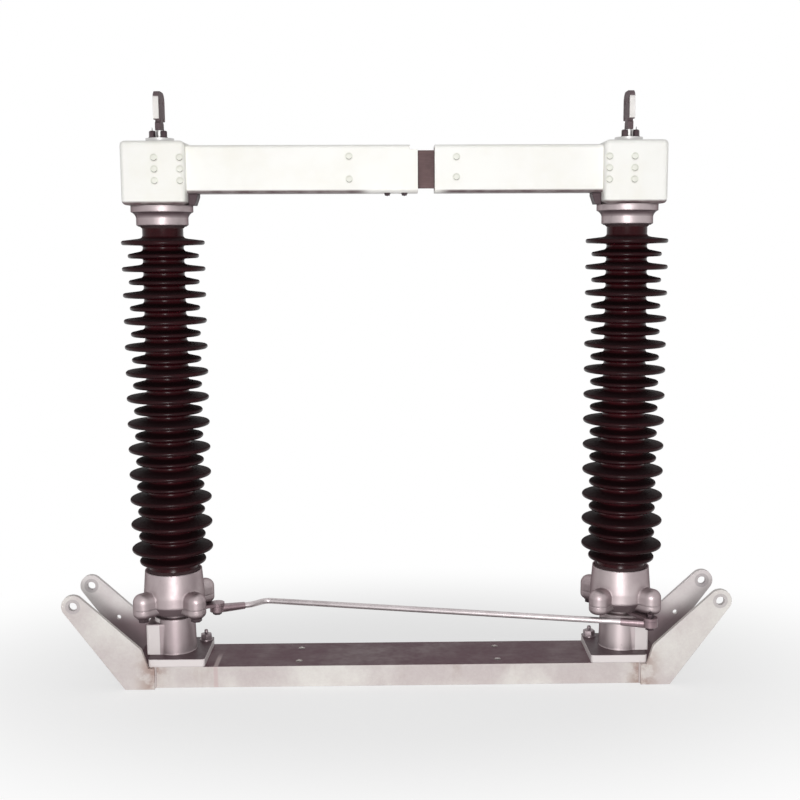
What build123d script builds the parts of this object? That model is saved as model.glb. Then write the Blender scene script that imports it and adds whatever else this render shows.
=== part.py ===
from build123d import *
import math
import os

# One pole of a centre-break disconnector: two turning porcelain posts on a channel base, in millimetres.
# X runs along the base, Y from front to rear, Z up. The origin is on the floor under the middle of the base.

# Layout of the whole pole
post_spacing = 1200
overrun = 5
running_clearance = 0.3
pivot_clearance = 0.4
opening_angle = 90
half_turn = 180

# Channel base, open side down
channel_overhang = 100
channel_width = 176
channel_height = 56
channel_web = 8
channel_flange = 10
channel_flange_taper = 2
channel_root_r = 8
base_hole_r = 9
base_hole_spacing_x = 530
base_hole_spacing_y = 100

# End ears, flat plates on the outside of the channel's flanges
ear_thickness = 12
ear_lap = 60
ear_tab_length = 77
ear_tip_out = 205
ear_tip_height = 226
ear_tip_r = 30
ear_hole_r = 11
ear_neck_out = 16
ear_shoulder_out = 32
ear_shoulder_height = 107
ear_shoulder_fillet = 20
ear_small_hole_r = 6.5
ear_small_hole_out = 133
ear_small_hole_height = 136

# Bearing housings
foot_length = 148
foot_shift = 16
foot_thickness = 21
foot_corner_r = 8
housing_bottom_r = 56
housing_top_r = 53
housing_height = 95
rib_reach = 68
rib_width = 100
rib_height = 84
rib_fillet = 5
spindle_r = 25
spindle_length = 70

# Turntables with their cranks, and the flange cups that the posts are cemented into
hub_r = 40
hub_height = 12.5
turntable_bottom_r = 64
turntable_r = 80
turntable_thickness = 24
lug_circle_r = 98
lug_r = 26
lug_angle = 45
lug_rise = 15
lug_dome = 22
lug_foot_fillet = 14
crank_r = 120
crank_thickness = 8
crank_width = 34
crank_eye_r = 20
crank_inner_r = 44
crank_angle = 30
flange_thickness = 26
cup_bottom_r = 80
cup_top_r = 75
cup_height = 63
cup_wall = 6
cup_floor = 10

# Porcelain posts: long and short sheds take turns down the core
shed_pairs = 13
shed_pitch = 67.1
shed_lip = 12
shed_rise = 6
shed_drip = 2
long_shed_r = 106
short_shed_top_r = 90.5
short_shed_bottom_r = 87
core_top_r = 52
core_bottom_r = 58
neck_top_length = 41
neck_bottom_length = 26
cement_gap = 2
cap_wall = 12
cap_pocket = 33
cap_skirt = 4
cap_r = 66
cap_height = 22
cap_ring_r = 79
cap_ring_height = 16
cap_flare_height = 15

# Terminal boxes and arms
box_length = 160
box_depth = 150
box_height = 159
box_shift = 8
box_fillet = 12
arm_depth = 84
arm_height = 120
arm_wall = 6
arm_corner_r = 10
arm_drop = 9
left_arm_past_middle = 57
right_arm_short_of_middle = 100
mouth_notch_length = 20
mouth_notch_depth = 12
bracket_length = 23
bracket_foot = 15
bracket_width = 46
bracket_toe = 8

# Contact: a blade on the right arm between two fingers inside the left arm
blade_past_middle = 10
blade_thickness = 14
blade_clearance = 6
blade_root = 60
finger_gap = 2
finger_thickness = 9
finger_length = 50
finger_lap = 10
finger_step = 4
finger_block = 30
plug_corner = 8

# Terminals on top of the boxes
stem_r = 18
stem_depth = 45
stem_collar_r = 36
stem_collar_height = 10
stem_neck_r = 12.5
stem_neck_height = 20
pad_thickness = 14
pad_depth = 84
pad_height = 96
pad_foot_depth = 44
pad_foot_height = 24
pad_corner_r = 26
pad_shoulder = 8
pad_hole_r = 7
pad_hole_spacing = 45
pad_hole_drop = 26

# Crossed tie rod between the cranks
rod_r = 8
rod_eye_r = 20
rod_socket_r = 14
rod_socket_end_r = 10
rod_socket_length = 56
rod_bend_run = 90
rod_bend_rise = 28
rod_joggle_run = 36
rod_joggle_rise = 36
rod_bend_r = 30

# Heights that follow from the sizes above
half_spacing = post_spacing / 2
arm_root = box_length / 2 - box_shift
foot_top = channel_height + foot_thickness
housing_top = foot_top + housing_height
hub_bottom = housing_top + running_clearance
turntable_bottom = hub_bottom + hub_height
turntable_top = turntable_bottom + turntable_thickness
flange_top = turntable_top + flange_thickness
cup_top = flange_top + cup_height
post_bottom = flange_top + cup_floor
first_shed = cup_top + neck_bottom_length
last_shed = first_shed + (2 * shed_pairs - 1) * shed_pitch / 2
cap_bottom = last_shed + neck_top_length
post_top = cap_bottom + cap_pocket
cap_top = cap_bottom + cap_height + cap_flare_height + cap_ring_height
box_top = cap_top + box_height
arm_middle = box_top - arm_drop - arm_height / 2
crank_bottom = turntable_bottom - crank_thickness
blade_height = arm_height - 2 * arm_wall - 2 * blade_clearance
finger_height = blade_height - 2 * finger_step
rod_middle = crank_bottom - pivot_clearance - rod_r

left, right = -1, 1


def keep(solid, name):
    """Write one piece to its own file."""
    export_step(solid, os.path.join("parts", name + ".step"))


def upright(radius, bottom, top):
    """An upright cylinder on the Z axis between two heights."""
    return Pos(0, 0, bottom) * Cylinder(radius, top - bottom, align=(Align.CENTER, Align.CENTER, Align.MIN))


def block(length, depth, bottom, top):
    """A block centred on the Z axis between two heights."""
    standing = (Align.CENTER, Align.CENTER, Align.MIN)
    return Pos(0, 0, bottom) * Box(length, depth, top - bottom, align=standing)


def across(radius, x, z, width):
    """A cylinder along Y for holes through upright plates."""
    return Pos(x, 0, z) * Rot(90, 0, 0) * Cylinder(radius, width)


def tangent(point, centre, radius, side):
    """Where the line from a point touches a circle, on its left side (+1) or its right side (-1)."""
    away = Vector(*centre) - Vector(*point)
    reach = math.sqrt(away.length**2 - radius**2)
    angle = math.atan2(away.Y, away.X) + side * math.asin(radius / away.length)
    return (point[0] + reach * math.cos(angle), point[1] + reach * math.sin(angle))


def base_channel():
    """The channel beam, web on top, with tapered flanges and four bolt holes through the web."""
    length = post_spacing + 2 * channel_overhang
    beam = block(length, channel_width, 0, channel_height)
    mouth = channel_width / 2 - channel_flange
    root = mouth - channel_flange_taper
    roof = channel_height - channel_web
    section = make_face(Polyline((-mouth, 0), (-root, roof), (root, roof), (mouth, 0), close=True).edges())
    section = fillet(section.vertices().group_by(Axis.Y)[-1], channel_root_r)
    hollow = extrude(Plane.YZ * section, length / 2 + overrun, both=True)
    hole = upright(base_hole_r, -overrun, channel_height + overrun)
    holes = [place * hole for place in GridLocations(base_hole_spacing_x, base_hole_spacing_y, 2, 2)]
    return beam - hollow - holes


def ear(side, small_hole):
    """An end ear, drawn for the right end in the XZ plane and mirrored for the left."""
    root = half_spacing + channel_overhang - ear_lap
    corner = (root + ear_tab_length, 0)
    tip = (root + ear_tip_out, ear_tip_height)
    shoulder = (root + ear_shoulder_out, ear_shoulder_height)
    lower = tangent(corner, tip, ear_tip_r, -1)
    upper = tangent(shoulder, tip, ear_tip_r, 1)
    far = Vector(*tip) + (Vector(*tip) - Vector(*shoulder)).normalized() * ear_tip_r
    lines = Polyline((root, 0), corner, lower)
    lines += ThreePointArc(lower, (far.X, far.Y), upper)
    lines += Polyline(
        upper, shoulder, (root + ear_neck_out, channel_height), (root, channel_height), (root, 0)
    )
    face = make_face(lines.edges())
    bend = face.vertices().sort_by_distance((*shoulder, 0))[0]
    face = fillet(bend, ear_shoulder_fillet)
    plate = extrude(Plane.XZ * face, ear_thickness / 2, both=True)
    plate -= across(ear_hole_r, *tip, ear_thickness + 2 * overrun)
    if small_hole:
        place = (root + ear_small_hole_out, ear_small_hole_height)
        plate -= across(ear_small_hole_r, *place, ear_thickness + 2 * overrun)
    return plate if side == right else plate.mirror(Plane.YZ)


def bearing_housing(side):
    """A cast housing: foot on the web, slightly tapered round body, and a wide rib on its outer side."""
    foot = block(foot_length, channel_width, channel_height, foot_top)
    foot = fillet(foot.edges().filter_by(Axis.Z), foot_corner_r)
    body = Pos(0, 0, foot_top) * Cone(
        housing_bottom_r, housing_top_r, housing_height, align=(Align.CENTER, Align.CENTER, Align.MIN)
    )
    rib = Pos(side * rib_reach / 2, 0, 0) * block(rib_reach, rib_width, foot_top, foot_top + rib_height)
    rib = fillet(rib.edges().filter_by(Axis.Z) + rib.edges().group_by(Axis.Z)[-1], rib_fillet)
    bore = upright(spindle_r + running_clearance, housing_top - spindle_length, housing_top + overrun)
    return Pos(side * half_spacing, 0, 0) * (Pos(-side * foot_shift, 0, 0) * foot + body + rib - bore)


def lugs(side, bottom, top, level, rounding):
    """Four lugs round the post's axis, each a boss on a web, rounded at its lowest or highest level."""
    boss = Pos(lug_circle_r, 0, 0) * upright(lug_r, bottom, top)
    boss += Pos(lug_circle_r / 2, 0, 0) * block(lug_circle_r, 2 * lug_r, bottom, top)
    outer = [edge for edge in boss.edges().group_by(Axis.Z)[level] if edge.center().X > lug_r]
    boss = fillet(outer, rounding)
    return [Rot(0, 0, -side * lug_angle + half_turn * quarter / 2) * boss for quarter in range(4)]


def turntable(side):
    """The turning plate under a post, with its hub and the spindle in the housing."""
    plate = Pos(0, 0, turntable_bottom) * Cone(
        turntable_bottom_r, turntable_r, turntable_thickness, align=(Align.CENTER, Align.CENTER, Align.MIN)
    )
    plate += lugs(side, turntable_bottom, turntable_top, 0, lug_foot_fillet)
    plate += upright(hub_r, hub_bottom, turntable_bottom)
    plate += upright(spindle_r, hub_bottom - spindle_length, hub_bottom)
    return Pos(side * half_spacing, 0, 0) * plate


def crank(side, angle):
    """A lever under a turntable, at an angle from the X axis, with a round eye at its end."""
    lever_length = crank_r - crank_inner_r
    lever = Pos(crank_inner_r + lever_length / 2, 0, 0) * block(
        lever_length, crank_width, crank_bottom, turntable_bottom
    )
    lever += Pos(crank_r, 0, 0) * upright(crank_eye_r, crank_bottom, turntable_bottom)
    return Pos(side * half_spacing, 0, 0) * Rot(0, 0, angle) * lever


def bottom_flange(side):
    """The lugged flange with the cup that holds the foot of a post."""
    cup = upright(cup_bottom_r, turntable_top, flange_top)
    cup += Pos(0, 0, flange_top) * Cone(
        cup_bottom_r, cup_top_r, cup_height, align=(Align.CENTER, Align.CENTER, Align.MIN)
    )
    cup += lugs(side, turntable_top, flange_top + lug_rise, -1, lug_dome)
    pocket = upright(cup_top_r - cup_wall, post_bottom, cup_top + overrun)
    return Pos(side * half_spacing, 0, 0) * (cup - pocket)


def insulator(side):
    """A porcelain post, turned from one profile: foot, short and long sheds by turns, head."""
    foot_r = cup_top_r - cup_wall - cement_gap
    head_r = cap_r - cap_wall - cement_gap
    profile = [(0, post_bottom), (foot_r, post_bottom), (foot_r, cup_top)]
    count = 2 * shed_pairs
    for index in range(count):
        height = first_shed + index * shed_pitch / 2
        share = index / (count - 1)
        short_r = short_shed_bottom_r + (short_shed_top_r - short_shed_bottom_r) * share
        tip_r = long_shed_r if index % 2 else short_r
        core_r = core_bottom_r + (core_top_r - core_bottom_r) * share
        lower, upper = height - shed_lip / 2, height + shed_lip / 2
        profile += [(core_r, lower - shed_drip), (tip_r, lower), (tip_r, upper), (core_r, upper + shed_rise)]
    profile += [(head_r, cap_bottom), (head_r, post_top), (0, post_top)]
    outline = make_face(Polyline(*profile, close=True).edges())
    return Pos(side * half_spacing, 0, 0) * revolve(Plane.XZ * outline, Axis.Z)


def top_cap(side):
    """The cap cemented on the head of a post, flared out to the ring that carries the terminal box."""
    ring_bottom = cap_top - cap_ring_height
    flare_bottom = ring_bottom - cap_flare_height
    middle = cap_r + (cap_ring_r - cap_r) / 4
    profile = Polyline((0, cap_top), (cap_ring_r, cap_top), (cap_ring_r, ring_bottom))
    profile += ThreePointArc(
        (cap_ring_r, ring_bottom), (middle, ring_bottom - cap_flare_height / 2), (cap_r, flare_bottom)
    )
    profile += Polyline(
        (cap_r, flare_bottom),
        (cap_r, cap_bottom + cap_skirt),
        (cap_r - cap_wall / 2, cap_bottom),
        (cap_r - cap_wall, cap_bottom),
        (cap_r - cap_wall, post_top),
        (0, post_top),
        (0, cap_top),
    )
    cap = revolve(Plane.XZ * make_face(profile.edges()), Axis.Z)
    return Pos(side * half_spacing, 0, 0) * cap


def terminal_box(side):
    """The cast box on top of a post, a little outside its axis, with the bore for the terminal's stem."""
    box = block(box_length, box_depth, cap_top, box_top)
    box = Pos(side * box_shift, 0, 0) * fillet(box.edges(), box_fillet)
    box -= upright(stem_r + running_clearance, box_top - stem_depth, box_top + overrun)
    return Pos(side * half_spacing, 0, 0) * box


def arm_reach(side):
    """How far an arm reaches from its post towards the other one."""
    return half_spacing + (left_arm_past_middle if side == left else -right_arm_short_of_middle)


def rounded_bar(start, end, depth, height, corner_r):
    """A bar along X with rounded long edges, at the height of the arms."""
    bar = Pos((start + end) / 2, 0, arm_middle) * Box(end - start, depth, height)
    return fillet(bar.edges().filter_by(Axis.X), corner_r)


def arm(side):
    """A box-section arm from its terminal box, drawn towards +X and turned about for the right post."""
    start, end = arm_root, arm_reach(side)
    inner_r = arm_corner_r - arm_wall
    tube = rounded_bar(start, end, arm_depth, arm_height, arm_corner_r)
    tube -= rounded_bar(
        start - overrun, end + overrun, arm_depth - 2 * arm_wall, arm_height - 2 * arm_wall, inner_r
    )
    if side == left:
        notch = Pos(end, 0, arm_middle + arm_height / 2) * Box(
            2 * mouth_notch_length, arm_depth + 2 * overrun, 2 * mouth_notch_depth
        )
        tube -= notch
    return towards_middle(tube, side)


def towards_middle(shape, side):
    """Place a shape drawn towards +X on the left post, or turned about on the right one."""
    turn = 0 if side == left else half_turn
    return Pos(side * half_spacing, 0, 0) * Rot(0, 0, turn) * shape


def arm_bracket(side):
    """The cast bracket under an arm's root, on the cap's ring and against the side of the terminal box."""
    top = arm_middle - arm_height / 2
    outline = Polyline(
        (arm_root, top),
        (arm_root + bracket_length, top),
        (arm_root + bracket_length, top - bracket_toe),
        (arm_root + bracket_foot, cap_top),
        (arm_root, cap_top),
        close=True,
    )
    return towards_middle(extrude(Plane.XZ * make_face(outline.edges()), bracket_width / 2, both=True), side)


def plug(start, end):
    """A block that fills the inside of an arm, with its long edges cut back from the tube's corners."""
    bar = Pos((start + end) / 2, 0, arm_middle) * Box(
        end - start, arm_depth - 2 * arm_wall, arm_height - 2 * arm_wall
    )
    return chamfer(bar.edges().filter_by(Axis.X), plug_corner)


def contact_blade():
    """The right arm's blade: a root inside the arm and a plate with a full round end."""
    reach = half_spacing + blade_past_middle
    arm_end = arm_reach(right)
    round_middle = reach - blade_thickness / 2
    plate = Pos((arm_end + round_middle) / 2, 0, arm_middle) * Box(
        round_middle - arm_end, blade_thickness, blade_height
    )
    end = Pos(round_middle, 0, arm_middle) * Cylinder(blade_thickness / 2, blade_height)
    return towards_middle(plug(arm_end - blade_root, arm_end) + plate + end, right)


def contact_fingers():
    """The left arm's contact: a block inside the arm with a finger on each side of the blade."""
    finger_end = post_spacing - (half_spacing + blade_past_middle) + finger_lap
    finger_start = finger_end - finger_length
    contact = plug(finger_start - finger_block, finger_start)
    offset = blade_thickness / 2 + finger_gap + finger_thickness / 2
    for place in (-offset, offset):
        contact += Pos((finger_start + finger_end) / 2, place, arm_middle) * Box(
            finger_length, finger_thickness, finger_height
        )
    return towards_middle(contact, left)


def terminal_stem(side):
    """The stem that turns in the box's top, with a collar and a short neck."""
    collar_bottom = box_top + running_clearance
    stem = upright(stem_r, box_top - stem_depth + running_clearance, collar_bottom)
    stem += upright(stem_collar_r, collar_bottom, collar_bottom + stem_collar_height)
    stem += upright(stem_neck_r, collar_bottom + stem_collar_height, pad_bottom())
    return Pos(side * half_spacing, 0, 0) * stem


def pad_bottom():
    """The height where the pad stands on its stem."""
    return box_top + running_clearance + stem_collar_height + stem_neck_height


def terminal_pad(side):
    """The upright pad with four bolt holes, narrow at its foot and round at its top corners."""
    bottom = pad_bottom()
    top = bottom + pad_height
    head = block(pad_thickness, pad_depth, bottom + pad_foot_height, top)
    head = fillet(head.edges().filter_by(Axis.X).group_by(Axis.Z)[-1], pad_corner_r)
    head = fillet(head.edges().filter_by(Axis.X).group_by(Axis.Z)[0], pad_shoulder)
    pad = head + block(pad_thickness, pad_foot_depth, bottom, bottom + pad_foot_height)
    hole = Rot(0, 90, 0) * Cylinder(pad_hole_r, pad_thickness + 2 * overrun)
    middle = top - pad_hole_drop - pad_hole_spacing / 2
    for y, z in ((-1, -1), (-1, 1), (1, -1), (1, 1)):
        pad -= Pos(0, y * pad_hole_spacing / 2, middle + z * pad_hole_spacing / 2) * hole
    return Pos(side * half_spacing, 0, 0) * pad


def rod_route():
    """The tie rod's points in plan: left eye, start and end of the joggle, right eye."""
    along = crank_r * math.cos(math.radians(crank_angle))
    aside = crank_r * math.sin(math.radians(crank_angle))
    left_eye = Vector(-half_spacing + along, aside, rod_middle)
    right_eye = Vector(half_spacing + aside, -along, rod_middle)
    bend = left_eye + Vector(rod_bend_run, rod_bend_rise, 0)
    joggle = bend + Vector(rod_joggle_run, rod_joggle_rise, 0)
    return left_eye, bend, joggle, right_eye


def socket_face(eye, towards):
    """Where the rod enters the socket of an eye."""
    return eye + (towards - eye).normalized() * (rod_eye_r + rod_socket_length)


def rod_end(eye, towards):
    """An eye with the tapered socket that takes the rod, flat on top to pass under the lever."""
    direction = (towards - eye).normalized()
    end = Pos(eye) * Cylinder(rod_eye_r, 2 * rod_r)
    length = rod_eye_r + rod_socket_length
    socket = Plane(eye, z_dir=direction) * Cone(
        rod_socket_r, rod_socket_end_r, length, align=(Align.CENTER, Align.CENTER, Align.MIN)
    )
    below = Pos(eye) * Pos(0, 0, rod_r) * Box(
        2 * length, 2 * length, 2 * length, align=(Align.CENTER, Align.CENTER, Align.MAX)
    )
    return end + socket.intersect(below)


def tie_rod():
    """The round rod between the two sockets, joggled near its left end."""
    left_eye, bend, joggle, right_eye = rod_route()
    start = socket_face(left_eye, bend)
    finish = socket_face(right_eye, joggle)
    route = FilletPolyline(start, bend, joggle, finish, radius=rod_bend_r)
    section = Plane(start, z_dir=bend - left_eye) * Circle(rod_r)
    return sweep(section, path=route)


os.makedirs("parts", exist_ok=True)

keep(base_channel(), "base_channel")
ear_offset = channel_width / 2 + ear_thickness / 2
for side, side_name in ((left, "left"), (right, "right")):
    keep(Pos(0, -ear_offset, 0) * ear(side, False), "front_" + side_name + "_ear")
    keep(Pos(0, ear_offset, 0) * ear(side, True), "rear_" + side_name + "_ear")
    keep(bearing_housing(side), side_name + "_bearing_housing")
    keep(turntable(side), side_name + "_turntable")
    keep(bottom_flange(side), side_name + "_bottom_flange")
    keep(insulator(side), side_name + "_insulator")
    keep(top_cap(side), side_name + "_top_cap")
    keep(terminal_box(side), side_name + "_terminal_box")
    keep(arm(side), side_name + "_arm")
    keep(arm_bracket(side), side_name + "_arm_bracket")
    keep(terminal_stem(side), side_name + "_terminal_stem")
    keep(terminal_pad(side), side_name + "_terminal_pad")
keep(crank(left, crank_angle), "left_crank")
keep(crank(right, crank_angle - opening_angle), "right_crank")
keep(contact_fingers(), "left_contact_fingers")
keep(contact_blade(), "right_contact_blade")

left_eye, bend, joggle, right_eye = rod_route()
keep(tie_rod(), "tie_rod")
keep(rod_end(left_eye, bend), "tie_rod_left_eye")
keep(rod_end(right_eye, joggle), "tie_rod_right_eye")
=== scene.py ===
"""One pole of a centre-break disconnect switch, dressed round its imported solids.

Sizes are in metres and angles in degrees, x runs along the base, and the front is towards -y.
"""
import logging
import math
from abc import ABC, abstractmethod
from dataclasses import dataclass
from enum import Enum
from typing import Callable, ClassVar, Iterable, Optional, Sequence

import bmesh
import bpy
from mathutils import Matrix, Vector


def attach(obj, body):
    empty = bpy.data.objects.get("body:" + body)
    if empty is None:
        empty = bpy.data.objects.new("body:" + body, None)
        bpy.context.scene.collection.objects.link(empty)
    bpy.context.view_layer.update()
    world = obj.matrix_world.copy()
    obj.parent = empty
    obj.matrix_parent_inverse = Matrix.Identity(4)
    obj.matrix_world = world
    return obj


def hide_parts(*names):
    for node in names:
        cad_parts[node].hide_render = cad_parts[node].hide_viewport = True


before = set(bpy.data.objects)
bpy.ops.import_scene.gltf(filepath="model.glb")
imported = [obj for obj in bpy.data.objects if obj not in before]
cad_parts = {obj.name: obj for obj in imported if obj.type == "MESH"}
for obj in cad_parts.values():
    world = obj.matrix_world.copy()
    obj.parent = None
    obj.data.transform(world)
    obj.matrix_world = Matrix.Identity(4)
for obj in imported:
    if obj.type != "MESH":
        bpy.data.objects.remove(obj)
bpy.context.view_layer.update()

LOG = logging.getLogger("disconnector")

Triple = tuple[float, float, float]
Colour = Triple
Point = tuple[float, float]
Outline = tuple[Point, ...]
# Where an effect starts and where it is full, or its least and its most.
Span = tuple[float, float]
# Features for each metre, how many finer layers and, where it differs, the share of those layers.
Noise = tuple[float, ...]
Socket = bpy.types.NodeSocket
Piece = bpy.types.Object

POST_X = 0.6
NOISE_RANGE = (0.3, 0.7)
MIDDLE = (0.0, 0.0, 0.0)
ALONG_X = (1.0, 0.0, 0.0)
ALONG_Y = (0.0, 1.0, 0.0)
AROUND_Y = (1.0, 0.0, 1.0)
AROUND_Z = (1.0, 1.0, 0.0)
DOWN = Vector((0.0, 0.0, -1.0))


class Side(Enum):
    """The two posts, by the sign of their place along the base."""

    LEFT = -1
    RIGHT = 1

    @property
    def word(self) -> str:
        """The side's name as the solids use it."""
        return self.name.lower()

    @property
    def column(self) -> str:
        """The body that turns with the post."""
        return f"{self.word}_column"

    @property
    def axis(self) -> Vector:
        """The foot of the post's turning axis."""
        return Vector((self.value * POST_X, 0.0, 0.0))


class Slot(Enum):
    """The material slots."""

    ZINC = "galvanised_steel"
    CAST = "cast_metal"
    GLAZE = "brown_porcelain"
    PAINT = "white_paint"
    BARE = "bare_aluminium"
    CONTACT = "contact_metal"


class Axis(Enum):
    """The three directions of the shared frame."""

    X = "X"
    Y = "Y"
    Z = "Z"


class Op(Enum):
    """How two values are combined."""

    ADD = "ADD"
    SUBTRACT = "SUBTRACT"
    MULTIPLY = "MULTIPLY"
    MAXIMUM = "MAXIMUM"


def screen(red: int, green: int, blue: int) -> Colour:
    """A colour as a screen shows it, turned into the renderer's linear numbers.

    Args:
        red: Red from 0 to 255.
        green: Green from 0 to 255.
        blue: Blue from 0 to 255.

    Returns:
        The linear colour.
    """
    shares = (red / 255, green / 255, blue / 255)
    return tuple(s / 12.92 if s <= 0.04045 else ((s + 0.055) / 1.055) ** 2.4 for s in shares)


class NodeBoard:
    """A node tree, with short ways to add and join its nodes."""

    def __init__(self, tree: bpy.types.NodeTree) -> None:
        """Start the tree empty.

        Args:
            tree: The node tree of a material or a world.
        """
        self.tree = tree
        self.tree.nodes.clear()

    def add(self, kind: str, **values: object) -> bpy.types.Node:
        """Add one node.

        Args:
            kind: The node's type name.
            **values: Its own properties.

        Returns:
            The node.
        """
        node = self.tree.nodes.new(kind)
        for key, value in values.items():
            setattr(node, key, value)
        return node

    def join(self, start: Socket, end: Socket) -> None:
        """Link an output to an input."""
        self.tree.links.new(start, end)

    def spread(self, value: Socket, low: float, high: float, to_low: float = 0.0,
               to_high: float = 1.0) -> Socket:
        """Map a value's range on to another one, smoothly and clamped.

        Args:
            value: The value that is mapped.
            low: The value that becomes to_low.
            high: The value that becomes to_high.
            to_low: The result at the low end.
            to_high: The result at the high end.

        Returns:
            The mapped value.
        """
        node = self.add("ShaderNodeMapRange", interpolation_type="SMOOTHSTEP")
        limits = {"From Min": low, "From Max": high, "To Min": to_low, "To Max": to_high}
        for name, number in limits.items():
            node.inputs[name].default_value = number
        self.join(value, node.inputs["Value"])
        return node.outputs["Result"]

    def combine(self, operation: Op, first: Socket, second: Socket) -> Socket:
        """Combine two values, clamped from 0 to 1.

        Args:
            operation: What is done with them.
            first: The first value.
            second: The second value.

        Returns:
            The result.
        """
        node = self.add("ShaderNodeMath", operation=operation.value, use_clamp=True)
        self.join(first, node.inputs[0])
        self.join(second, node.inputs[1])
        return node.outputs["Value"]

    def times(self, first: Socket, second: Socket) -> Socket:
        """The product of two shares."""
        return self.combine(Op.MULTIPLY, first, second)

    def seen_rays(self) -> Socket:
        """Tell the rays that show the background: straight from the camera, mirrored or through glass.

        Returns:
            One for such a ray, and zero for any other.
        """
        path = self.add("ShaderNodeLightPath").outputs
        mirrored = self.combine(Op.MAXIMUM, path["Is Camera Ray"], path["Is Glossy Ray"])
        return self.combine(Op.MAXIMUM, mirrored, path["Is Transmission Ray"])


class SurfaceBoard(NodeBoard):
    """A new material's nodes, laid out by the object's own coordinates."""

    MIX_SHARE: ClassVar[int] = 0
    MIX_FIRST: ClassVar[int] = 6
    MIX_SECOND: ClassVar[int] = 7
    MIX_RESULT: ClassVar[int] = 2

    def __init__(self, name: str) -> None:
        """Start a material with a plain shader.

        Args:
            name: The material's name.
        """
        self.material = bpy.data.materials.new(name)
        self.material.use_nodes = True
        super().__init__(self.material.node_tree)
        self.place = self.add("ShaderNodeTexCoord").outputs["Object"]
        self.shader = self.add("ShaderNodeBsdfPrincipled")
        self.output = self.add("ShaderNodeOutputMaterial")
        self.join(self.shader.outputs["BSDF"], self.output.inputs["Surface"])

    def stretched(self, scale: Triple) -> Socket:
        """Object coordinates with each axis scaled.

        Args:
            scale: The scale of each axis.

        Returns:
            The scaled coordinates.
        """
        mapping = self.add("ShaderNodeMapping")
        mapping.inputs["Scale"].default_value = scale
        self.join(self.place, mapping.inputs["Vector"])
        return mapping.outputs["Vector"]

    def noise(self, scale: float, detail: float, rough: float = 0.55,
              where: Optional[Socket] = None) -> Socket:
        """A soft noise from 0 to 1.

        Args:
            scale: Features for each metre.
            detail: How many finer layers it has.
            rough: The share of the finer layers.
            where: The coordinates, or None for the object's own.

        Returns:
            The noise's value.
        """
        node = self.add("ShaderNodeTexNoise")
        node.inputs["Scale"].default_value = scale
        node.inputs["Detail"].default_value = detail
        node.inputs["Roughness"].default_value = rough
        self.join(where or self.place, node.inputs["Vector"])
        return node.outputs["Fac"]

    def grain(self, scale: float, detail: float, to: Span = (0.0, 1.0)) -> Socket:
        """A noise whose usual range is mapped on to another one.

        Args:
            scale: Features for each metre.
            detail: How many finer layers it has.
            to: The lowest and the highest result.

        Returns:
            The mapped noise.
        """
        return self.spread(self.noise(scale, detail), *NOISE_RANGE, *to)

    def blend(self, share: Socket, first: object, second: object) -> Socket:
        """Mix two colours.

        Args:
            share: How much of the second shows.
            first: A colour or a socket.
            second: A colour or a socket.

        Returns:
            The mixed colour.
        """
        node = self.add("ShaderNodeMix", data_type="RGBA")
        self.join(share, node.inputs[self.MIX_SHARE])
        for index, colour in ((self.MIX_FIRST, first), (self.MIX_SECOND, second)):
            if isinstance(colour, Socket):
                self.join(colour, node.inputs[index])
            else:
                node.inputs[index].default_value = (*colour, 1.0)
        return node.outputs[self.MIX_RESULT]

    def facing(self, axis: Axis) -> Socket:
        """One part of the surface's own direction.

        Args:
            axis: Which part.

        Returns:
            The part, from -1 to 1.
        """
        split = self.add("ShaderNodeSeparateXYZ")
        self.join(self.add("ShaderNodeNewGeometry").outputs["Normal"], split.inputs["Vector"])
        return split.outputs[axis.value]

    def along(self, axis: Axis) -> Socket:
        """One of the object's coordinates.

        Args:
            axis: Which one.

        Returns:
            The coordinate in metres.
        """
        split = self.add("ShaderNodeSeparateXYZ")
        self.join(self.place, split.inputs["Vector"])
        return split.outputs[axis.value]

    def apart(self, middle: Sequence[float], counted: Triple, mirrored: bool = True) -> Socket:
        """The distance from a point, or from an axis or plane through it.

        Args:
            middle: The point, with no coordinate below zero where it is mirrored.
            counted: One for each coordinate that counts, and zero for the others.
            mirrored: Whether the point's mirror images count too.

        Returns:
            The distance in metres.
        """
        place = self.place
        if mirrored:
            fold = self.add("ShaderNodeVectorMath", operation="ABSOLUTE")
            self.join(place, fold.inputs[0])
            place = fold.outputs["Vector"]
        shift = self.add("ShaderNodeMapping")
        shift.inputs["Location"].default_value = [-part * use for part, use in zip(middle, counted)]
        shift.inputs["Scale"].default_value = counted
        self.join(place, shift.inputs["Vector"])
        reach = self.add("ShaderNodeVectorMath", operation="LENGTH")
        self.join(shift.outputs["Vector"], reach.inputs[0])
        return reach.outputs["Value"]

    def relief(self, value: Socket, depth: float, edge: float = 0.0) -> None:
        """Give the surface a fine relief, and soften its sharp edges.

        Args:
            value: The relief's height, from 0 to 1.
            depth: The relief's depth in metres.
            edge: The radius that sharp edges seem to have, in metres.
        """
        bump = self.add("ShaderNodeBump")
        bump.inputs["Strength"].default_value = 1.0
        bump.inputs["Distance"].default_value = depth
        self.join(value, bump.inputs["Height"])
        if edge:
            bevel = self.add("ShaderNodeBevel", samples=4)
            bevel.inputs["Radius"].default_value = edge
            self.join(bevel.outputs["Normal"], bump.inputs["Normal"])
        self.join(bump.outputs["Normal"], self.shader.inputs["Normal"])

    def set(self, **values: object) -> None:
        """Set the shader's own numbers and colours, or link what drives them.

        Args:
            **values: Socket names with _ for spaces, and what each gets.
        """
        for key, value in values.items():
            socket = self.shader.inputs[key.replace("_", " ")]
            if isinstance(value, Socket):
                self.join(value, socket)
            else:
                socket.default_value = (*value, 1.0) if isinstance(value, tuple) else value


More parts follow.
